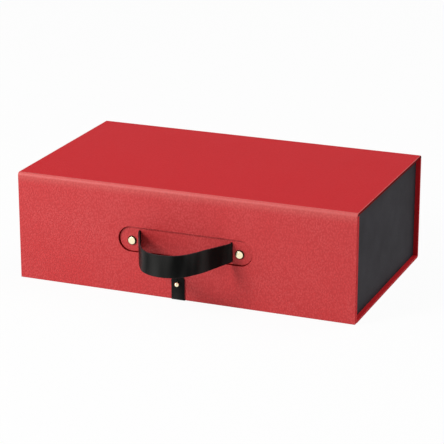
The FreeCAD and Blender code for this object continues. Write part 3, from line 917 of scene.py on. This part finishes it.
    def is_window_rim(self, edge: bmesh.types.BMEdge) -> bool:
        """Say whether an edge is on the handle window's rim.

        Args:
            edge: An edge of the flap's paper.

        Returns:
            True for the window's edge on the front, not for those of the stud's hole and the notch.
        """
        return Bench.is_sharp(edge) and all(
            abs(v.co.y - self.plan.front) < NEAR and abs(v.co.x) < self.plan.edge / 2
            and v.co.z > self.window_radius * 2 for v in edge.verts)

    def bend(self, name: str, y: float, side: int) -> Piece:
        """Covering paper across a hinge, from the lid's top a quarter turn down.

        Args:
            name: The piece's name.
            y: Where the lid's board ends.
            side: -1 at the front, 1 at the back.

        Returns:
            The piece, without a body.
        """
        plan = self.plan
        middle = (0, y, plan.top - self.bend_sheet / 2)
        piece = Bench.card(name, middle, 2 * plan.edge, self.bend_sheet, (math.pi / 2, 0, 0))
        with Bench.editing(piece):
            Bench.pick(piece, Select.VERTICES, lambda v: v.co.z > middle[2])
            Bench.round_card(self.edge_round)
            Bench.turn((0, y, plan.fold_low), X_AXIS, -90 * side, BEND_STEPS)
        Bench.close_seams(piece)
        reach = plan.top - plan.fold_low - self.bend_sheet + 5 * NEAR
        # The bend's outside gets the paler red: a painted highlight.
        Bench.coat(piece, self.finishes.painted_highlight_red)
        Bench.coat(piece, self.finishes.black,
                   lambda f: math.hypot(f.center.y - y, f.center.z - plan.fold_low) < reach)
        Bench.declare(piece, "red_leatherette_paper")
        return piece

    def front_bend(self) -> Piece:
        """Hinge of the flap along the lid's front edge.

        Returns:
            The piece.
        """
        plan = self.plan
        piece = self.bend("front_bend", plan.fold_front, -1)
        start, end = self.crease((0, plan.front, plan.fold_low), (0, plan.fold_front, plan.top))
        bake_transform(piece)
        return piece

    def back_bend(self) -> Piece:
        """Hinge of the lid along the spine's top edge.

        Returns:
            The piece.
        """
        plan = self.plan
        piece = self.bend("back_bend", plan.fold_back, 1)
        start, end = self.crease((0, plan.fold_back, plan.top), (0, plan.back, plan.fold_low))
        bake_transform(piece)
        return piece

    def crease(self, start: Point, end: Point) -> tuple[tuple, tuple]:
        """Find the middle part of a bend, where its two halves turn against each other.

        The end on the body that opens comes first.

        Args:
            start: The bend's end on the body that opens.
            end: Its other end.

        Returns:
            Both ends of the middle part.
        """
        first, last = Vector(start), Vector(end)
        return tuple(first.lerp(last, self.crease_share)), tuple(first.lerp(last, 1 - self.crease_share))


@dataclass
class Tray:
    """The fixed tray: boards covered in black paper inside and out."""

    finishes: Finishes
    wall: float = 3.0 * MM
    corner_round: float = 0.8 * MM
    rim_round: float = 0.5 * MM

    def build(self) -> list[Piece]:
        """Build the tray's covering paper.

        Returns:
            The piece, in a list.
        """
        low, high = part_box("tray_wrap")
        piece = Bench.block("tray_cover", low, high)
        with Bench.editing(piece):
            Bench.pick(piece, Select.FACES, lambda f: f.normal.z > FACING)
            bpy.ops.mesh.inset(thickness=self.wall, depth=0)
            Bench.push((0, 0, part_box("tray_lining")[0].z - high.z))
            bpy.ops.mesh.delete(type="FACE")
            Bench.pick(piece, Select.EDGES, lambda e: Bench.span(e, Z_AXIS) > MM
                       and abs(e.verts[0].co.x) > high.x - NEAR)
            Bench.round_off(self.corner_round, CORNER_STEPS)
            Bench.pick(piece, Select.EDGES, lambda e: Bench.is_sharp(e)
                       and all(abs(v.co.z - high.z) < NEAR for v in e.verts))
            Bench.round_off(self.rim_round)
        Bench.add_paper(piece)
        Bench.coat(piece, self.finishes.black)
        Bench.declare(piece, "black_paper", "tray_wrap")
        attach(piece, "base")
        return [piece]


@dataclass
class Lathe:
    """Spins an outline of (radius, distance) pairs about a line along Y."""

    centre: Vector
    outline: Sequence[tuple[float, float]]
    sides: int = 48

    def spin(self, name: str) -> Piece:
        """Trace the outline and turn it right round.

        Args:
            name: The piece's name.

        Returns:
            The closed shape.
        """
        radius, along = self.outline[0]
        piece = Bench.point(name, self.centre + Vector((radius, along, 0)))
        with Bench.editing(piece):
            bpy.ops.mesh.select_all(action="SELECT")
            for (r0, y0), (r1, y1) in zip(self.outline, self.outline[1:]):
                Bench.push((r1 - r0, y1 - y0, 0))
            bpy.ops.mesh.select_all(action="SELECT")
            Bench.turn(self.centre, Y_AXIS, 360, self.sides)
        Bench.close_seams(piece)
        return piece

    @staticmethod
    def arc(centre: tuple[float, float], radius: float, start: float, end: float,
            steps: int) -> list[tuple[float, float]]:
        """Points of an arc for an outline.

        Args:
            centre: Its centre, as (radius, distance).
            radius: Its radius.
            start: First angle in degrees, 0 pointing away from the axis and 90 to the front.
            end: Last angle.
            steps: How many parts.

        Returns:
            The points, ends included.
        """
        turns = [math.radians(start + (end - start) * i / steps) for i in range(steps + 1)]
        return [(centre[0] + radius * math.cos(t), centre[1] - radius * math.sin(t)) for t in turns]


@dataclass
class Handle:
    """Leather strap in a bow out of the flap, with its riveted tails, and the rivet heads."""

    finishes: Finishes
    thickness: float = 1.6 * MM
    width: float = 21.4 * MM
    neck: float = 18.6 * MM
    slit_gap: float = 0.3 * MM
    plate_round: float = 5.0 * MM
    fold: float = 0.3 * MM
    fold_steps: int = 6
    swing_room: float = 3.5 * MM
    straight: float = 1.5 * MM
    exit_radius: float = 5.0 * MM
    exit_turn: float = 25.0
    flank_run: float = 32.06 * MM
    flank_radius: float = 118.0 * MM
    flank_turn: float = 8.0
    edge_round: float = 0.5 * MM
    rivet_radius: float = 4.5 * MM
    rivet_height: float = 2.0 * MM
    stem_radius: float = 1.7 * MM
    bore_radius: float = 1.15 * MM
    ring_radius: float = 4.1 * MM
    ring_roll: float = 0.4 * MM
    cap_radius: float = 3.2 * MM
    cap_drop: float = 0.25 * MM
    cap_steps: int = 8
    shoulder: float = 0.4 * MM
    # Arcs of the outline: first and last angle in degrees, and how many parts.
    ring_arc: Arc = (-85, 175, 16)
    shoulder_arc: Arc = (5, 82, 8)

    def build(self) -> list[Piece]:
        """Build the plate, the strap and the two rivet heads."""
        return [self.plate(), self.strap(), self.rivet_heads()]

    def plate(self) -> Piece:
        """Red paper on the window's floor, slit for the strap's necks and holed for the rivets.

        Returns:
            The piece.
        """
        low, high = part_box("recess_cover")
        strap_low, strap_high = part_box("handle_strap")
        caps_low, caps_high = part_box("rivet_caps")
        middle_z = (strap_low.z + strap_high.z) / 2
        rivet_z = (caps_low.z + caps_high.z) / 2
        piece = Bench.block("window_plate", low, high)
        with Bench.editing(piece):
            Bench.pick(piece, Select.EDGES, lambda e: Bench.span(e, Y_AXIS) > NEAR)
            Bench.round_off(self.plate_round, CORNER_STEPS)
        reach = self.neck / 2 + self.slit_gap
        for x in (strap_low.x, strap_high.x - self.thickness):
            Bench.cut(piece, Bench.block("slit_cutter", (x - self.slit_gap, low.y - MM, middle_z - reach),
                                         (x + self.thickness + self.slit_gap, high.y + MM, middle_z + reach)))
        for x in (caps_low.x + self.rivet_radius, caps_high.x - self.rivet_radius):
            Bench.cut(piece, Bench.peg("stem_cutter", self.stem_radius + NEAR, (x, low.y - MM, rivet_z),
                                       (x, high.y + MM, rivet_z)))
        Bench.coat(piece, self.finishes.red)
        Bench.declare(piece, "red_leatherette_paper", "recess_cover")
        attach(piece, "flap")
        return piece

    def strap(self) -> Piece:
        """Sweep the strap from its left tail, round the bow, to its right tail.

        Returns:
            The piece.
        """
        low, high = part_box("handle_strap")
        tail_low, tail_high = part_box("strap_tails")
        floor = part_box("recess_cover")[0].y
        fold_y = tail_high.y - self.thickness - self.fold
        middle = (tail_low.x, tail_high.y - self.thickness / 2, (low.z + high.z) / 2)
        piece = Bench.card("leather_strap", middle, self.thickness, self.neck, (math.pi / 2, 0, math.pi / 2))
        with Bench.editing(piece):
            bpy.ops.mesh.select_all(action="SELECT")
            Bench.round_card(self.edge_round)
            Bench.push((low.x - self.fold - tail_low.x, 0, 0))
            Bench.turn((low.x - self.fold, fold_y, 0), Z_AXIS, -90, self.fold_steps)
            walk = StrapWalk(Vector((low.x, fold_y, middle[2])))
            walk.run(walk.place.y - floor + self.straight)
            self.walk_flank(walk, False)
            rest = (low.x + high.x) / 2 - walk.place.x
            walk.bend(rest / math.cos(math.radians(walk.lean)), 2 * (90 - walk.lean))
            self.walk_flank(walk, True)
            walk.run(fold_y - walk.place.y)
            Bench.turn((high.x + self.fold, fold_y, 0), Z_AXIS, -90, self.fold_steps)
            Bench.push((tail_high.x - high.x - self.fold, 0, 0))
        Bench.close_seams(piece)
        Bench.coat(piece, self.finishes.leather)
        # The strap's edges get the cut-edge colour, partly a painted highlight.
        Bench.coat(piece, self.finishes.raw_leather_and_highlight, lambda f: abs(f.normal.z) > SIDEWAYS)
        Bench.declare(piece, "black_leather", "handle_strap", "strap_tails", degrees=LEATHER_ANGLE)
        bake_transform(piece)
        return piece

    def walk_flank(self, walk: "StrapWalk", inwards: bool) -> None:
        """Sweep one flank of the bow.

        Args:
            walk: The sweep.
            inwards: Whether it runs back towards the flap.
        """
        growth = self.neck / self.width if inwards else self.width / self.neck
        steps = [lambda: walk.bend(self.exit_radius, self.exit_turn),
                 lambda: walk.run(self.flank_run, growth),
                 lambda: walk.bend(self.flank_radius, self.flank_turn)]
        for step in reversed(steps) if inwards else steps:
            step()

    def rivet_heads(self) -> Piece:
        """Brass heads on the window's floor: a nearly flat cap inside a rolled ring.

        Returns:
            The piece.
        """
        low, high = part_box("rivet_caps")
        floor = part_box("recess_cover")[0].y
        middle_z = (low.z + high.z) / 2
        stem = high.y - floor
        top = self.cap_drop - self.rivet_height
        outline = [(0.0, 0.0), (self.bore_radius, 0.0), (self.bore_radius, stem), (self.stem_radius, stem),
                   (self.stem_radius, 0.0)]
        outline += Lathe.arc((self.ring_radius, -self.ring_roll), self.ring_roll, *self.ring_arc)
        outline += Lathe.arc((self.cap_radius, top + self.shoulder), self.shoulder, *self.shoulder_arc)
        for i in range(1, self.cap_steps + 1):
            share = 1 - i / self.cap_steps
            outline.append((self.cap_radius * share, -self.rivet_height + self.cap_drop * share * share))
        places = [low.x + self.rivet_radius, high.x - self.rivet_radius]
        heads = [Lathe(Vector((x, floor, middle_z)), outline).spin(name)
                 for x, name in zip(places, ("rivet_heads", "right_rivet_head"))]
        Bench.hold(*heads)
        bpy.ops.object.join()
        piece = heads[0]
        inner = self.cap_radius + self.shoulder + NEAR
        Bench.coat(piece, self.finishes.brass)
        # The rolled ring gets the dark brass: a painted reflection.
        Bench.coat(piece, self.finishes.brass_ring_painted_dark,
                   lambda f: min(math.hypot(f.center.x - x, f.center.z - middle_z) for x in places) > inner)
        Bench.declare(piece, "polished_brass", "rivet_caps")
        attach(piece, "flap")
        return piece


class StrapWalk:
    """Sweeps the strap's selected end along its line, seen from above."""

    least_steps = 6
    step_degrees = 3

    def __init__(self, place: Vector) -> None:
        """Stand at the left slit, at the strap's outer face."""
        self.place = place
        self.lean = 0.0

    def heading(self) -> Vector:
        """Direction along the strap; no lean points straight out of the flap."""
        turn = math.radians(self.lean)
        return Vector((math.sin(turn), -math.cos(turn), 0))

    def inward(self) -> Vector:
        """Direction from the outer face to the inner one."""
        turn = math.radians(self.lean)
        return Vector((math.cos(turn), math.sin(turn), 0))

    def run(self, length: float, growth: float = 1.0) -> None:
        """Push the end straight ahead.

        Args:
            length: How far.
            growth: How much wider the strap gets on the way.
        """
        Bench.push(self.heading() * length)
        self.place = self.place + self.heading() * length
        if growth != 1.0:
            bpy.ops.transform.resize(value=(1, 1, growth), center_override=tuple(self.place))

    def bend(self, radius: float, degrees: float) -> None:
        """Turn the end further inwards.

        Args:
            radius: Radius of the strap's outer face.
            degrees: How far it turns.
        """
        centre = self.place + self.inward() * radius
        Bench.turn(centre, Z_AXIS, degrees, max(self.least_steps, round(degrees / self.step_degrees)))
        self.lean += degrees
        self.place = centre - self.inward() * radius


@dataclass
class Closure:
    """Leather tab under the flap's front edge and the ball stud it buttons over."""

    plan: CasePlan
    finishes: Finishes
    bend_radius: float = 1.5 * MM
    bend_steps: int = 10
    edge_round: float = 0.35 * MM
    tip_steps: int = 8
    tip_turn: float = 86.0
    hole_radius: float = 1.7 * MM
    slit_width: float = 0.5 * MM
    slit_length: float = 5.0 * MM
    anchor_rows: tuple[float, ...] = (-79.5 * MM, -71.5 * MM)
    anchor_radius: float = 2.3 * MM
    ball_radius: float = 2.4 * MM
    ball_steps: int = 18
    stud_sides: int = 40
    neck_radius: float = 1.2 * MM
    neck_foot: float = 0.3 * MM
    neck_fillet: float = 0.1 * MM
    flange_radius: float = 3.65 * MM
    flange_height: float = 0.8 * MM
    bore_radius: float = 0.85 * MM
    bore_depth: float = 1.05 * MM

    def build(self) -> list[Piece]:
        """Build the tab and the stud."""
        return [self.tab(), self.stud()]

    def tab(self) -> Piece:
        """Sweep the tab from under the base, round the flap's foot and up its face.

        Returns:
            The piece.
        """
        low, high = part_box("closing_tab")
        tail_low, tail_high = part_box("closing_tab_tail")
        thickness = tail_high.z - tail_low.z
        x = self.plan.tab_x
        middle = (x, tail_high.y, tail_low.z + thickness / 2)
        piece = Bench.card("leather_tab", middle, high.x - low.x, thickness, (math.pi / 2, 0, 0))
        centre = (0, low.y + self.bend_radius, tail_low.z + self.bend_radius)
        half = (high.x - low.x) / 2
        with Bench.editing(piece):
            bpy.ops.mesh.select_all(action="SELECT")
            Bench.round_card(self.edge_round)
            Bench.push((0, centre[1] - tail_high.y, 0))
            Bench.turn(centre, X_AXIS, -90, self.bend_steps)
            Bench.push((0, 0, high.z - half - centre[2]))
            turns = [math.radians(self.tip_turn * i / self.tip_steps) for i in range(self.tip_steps + 1)]
            for last, turn in zip(turns, turns[1:]):
                Bench.push((0, 0, half * (math.sin(turn) - math.sin(last))))
                shrink = math.cos(turn) / math.cos(last)
                bpy.ops.transform.resize(value=(shrink, 1, 1), center_override=(x, 0, 0))
        Bench.close_seams(piece)
        stud_z = self.plan.stud_z
        front, back = low.y - MM, high.y + 0.5 * MM
        slit = self.slit_width / 2
        Bench.cut(piece, Bench.peg("hole_cutter", self.hole_radius, (x, front, stud_z), (x, back, stud_z)))
        Bench.cut(piece, Bench.block("slit_cutter", (x - slit, front, stud_z),
                                     (x + slit, back, stud_z + self.slit_length)))
        for y in self.anchor_rows:
            Bench.cut(piece, Bench.peg("anchor_cutter", self.anchor_radius, (x, y, -MM), (x, y, 2 * MM)))
        Bench.coat(piece, self.finishes.tab_leather)
        # The tab's edges and tip get the cut-edge colour, partly a painted highlight.
        Bench.coat(piece, self.finishes.raw_leather_and_highlight, lambda f: abs(f.normal.x) > SIDEWAYS
                   or (f.center.z > high.z - half and abs(f.normal.y) < SIDEWAYS))
        Bench.declare(piece, "black_leather", "closing_tab", "closing_tab_tail", degrees=LEATHER_ANGLE)
        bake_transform(piece)
        return piece

    def stud(self) -> Piece:
        """Turn the ball stud: flange, waisted neck and ball.

        Returns:
            The piece.
        """
        middle = Vector((self.plan.tab_x, self.plan.front, self.plan.stud_z))
        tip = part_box("closing_stud")[0].y - self.plan.front
        join = math.degrees(math.acos(self.neck_radius / self.ball_radius))
        outline = [(0.0, -self.bore_depth), (self.bore_radius, -self.bore_depth),
                   (self.bore_radius, self.flange_height), (self.flange_radius, self.flange_height),
                   (self.flange_radius, 0.0), (self.neck_radius + self.neck_foot, 0.0),
                   (self.neck_radius + self.neck_fillet, -self.neck_fillet),
                   (self.neck_radius, -self.neck_foot)]
        outline += Lathe.arc((0.0, tip + self.ball_radius), self.ball_radius, -join, 90, self.ball_steps)
        outline[-1] = (0.0, tip)
        piece = Lathe(middle, outline, self.stud_sides).spin("ball_stud")
        Bench.coat(piece, self.finishes.brass)
        Bench.declare(piece, "polished_brass", "closing_stud")
        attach(piece, "flap")
        return piece


@dataclass
class Studio:
    """Pale floor, soft lamps and the camera."""

    lens: float = 157.0
    camera_place: tuple[float, float, float] = (0.67129, -1.66135, 0.64686)
    camera_turn: tuple[float, float, float] = (71.48, 0.0, 22.02)
    aim: tuple[float, float, float] = (0.0, 0.0, 0.05)
    world_light: float = 0.35
    clip_end: float = 50.0
    floor_size: float = 12.0
    shadow_share: float = 0.05

    def build(self) -> None:
        """Set up the whole studio."""
        self.floor()
        self.lamp("key_softbox", (-1.05, -1.4, 1.28), (0.54, 0.54), 23)
        self.lamp("low_softbox", (-1.38, -1.56, 0.47), (0.9, 0.72), 11)
        self.lamp("top_softbox", (1.1, 0.9, 2.7), (1.6, 1.6), 26)
        self.lamp("right_softbox", (2.2, 0.9, 0.9), (1.4, 1.4), 4)
        self.world()
        self.camera()
        bpy.context.scene.view_settings.view_transform = "Standard"

    def lamp(self, name: str, place: Point, size: tuple[float, float], power: float) -> None:
        """Hang a rectangular soft lamp that faces the box.

        Args:
            name: Its name.
            place: Where it hangs.
            size: Its width and height in metres.
            power: Its power in watts.
        """
        Bench.hold()
        turn = (Vector(self.aim) - Vector(place)).to_track_quat("-Z", "Y").to_euler()
        bpy.ops.object.light_add(type="AREA", location=place, rotation=turn)
        lamp = bpy.context.active_object
        lamp.name = name
        lamp.data.shape = "RECTANGLE"
        lamp.data.size, lamp.data.size_y = size
        lamp.data.energy = power

    def camera(self) -> None:
        """Set up the camera at the photograph's viewing angle."""
        Bench.hold()
        turn = tuple(math.radians(angle) for angle in self.camera_turn)
        bpy.ops.object.camera_add(location=self.camera_place, rotation=turn)
        camera = bpy.context.active_object
        camera.data.lens = self.lens
        camera.data.clip_end = self.clip_end
        bpy.context.scene.camera = camera

    @staticmethod
    def seen(add: Adder) -> bpy.types.Node:
        """Say whether a ray comes from the camera, or by a mirror or glass.

        Args:
            add: Adds nodes to the tree.

        Returns:
            A node that gives 1 for such a ray.
        """
        path = add("LightPath").outputs
        mirror = add("Math", (path["Is Glossy Ray"], path["Is Transmission Ray"]), operation="MAXIMUM")
        return add("Math", (path["Is Camera Ray"], mirror), operation="MAXIMUM")

    def world(self) -> None:
        """White where it is seen, and a plain even light elsewhere."""
        world = bpy.data.worlds.new("studio_world")
        bpy.context.scene.world = world
        add = open_tree(world)
        plain = add("Background", {"Color": (1, 1, 1, 1), "Strength": self.world_light})
        white = add("Background", {"Color": (1, 1, 1, 1), "Strength": 1.0})
        add("OutputWorld", {"Surface": add("MixShader", (self.seen(add), plain, white))})

    def floor(self) -> None:
        """Pale floor, white where it is seen, that keeps a faint shadow of the box."""
        Bench.hold()
        bpy.ops.mesh.primitive_plane_add(size=self.floor_size)
        floor = Bench.take_up("studio_floor")
        material = bpy.data.materials.new("white_studio_paper")
        add = open_tree(material)
        matte = add("BsdfDiffuse", {"Color": (0.8, 0.8, 0.8, 1)})
        glow = add("Emission", {"Color": (1, 1, 1, 1), "Strength": 1.0})
        shown = add("Math", (self.seen(add), 1 - self.shadow_share), operation="MULTIPLY")
        add("OutputMaterial", {"Surface": add("MixShader", (shown, matte, glow))})
        floor.data.materials.append(material)


def main() -> None:
    """Build the box's pieces in order, then the studio."""
    logging.basicConfig(level=logging.INFO, format="%(name)s: %(message)s")
    plan = CasePlan.from_frame()
    finishes = Finishes()
    finishes.dress_nodes()
    for assembly in (CaseCover(plan, finishes), Tray(finishes), Handle(finishes), Closure(plan, finishes)):
        for piece in assembly.build():
            LOG.info("%s: %d faces", piece.name, len(piece.data.polygons))
    Studio().build()


if __name__ == "__main__":
    main()
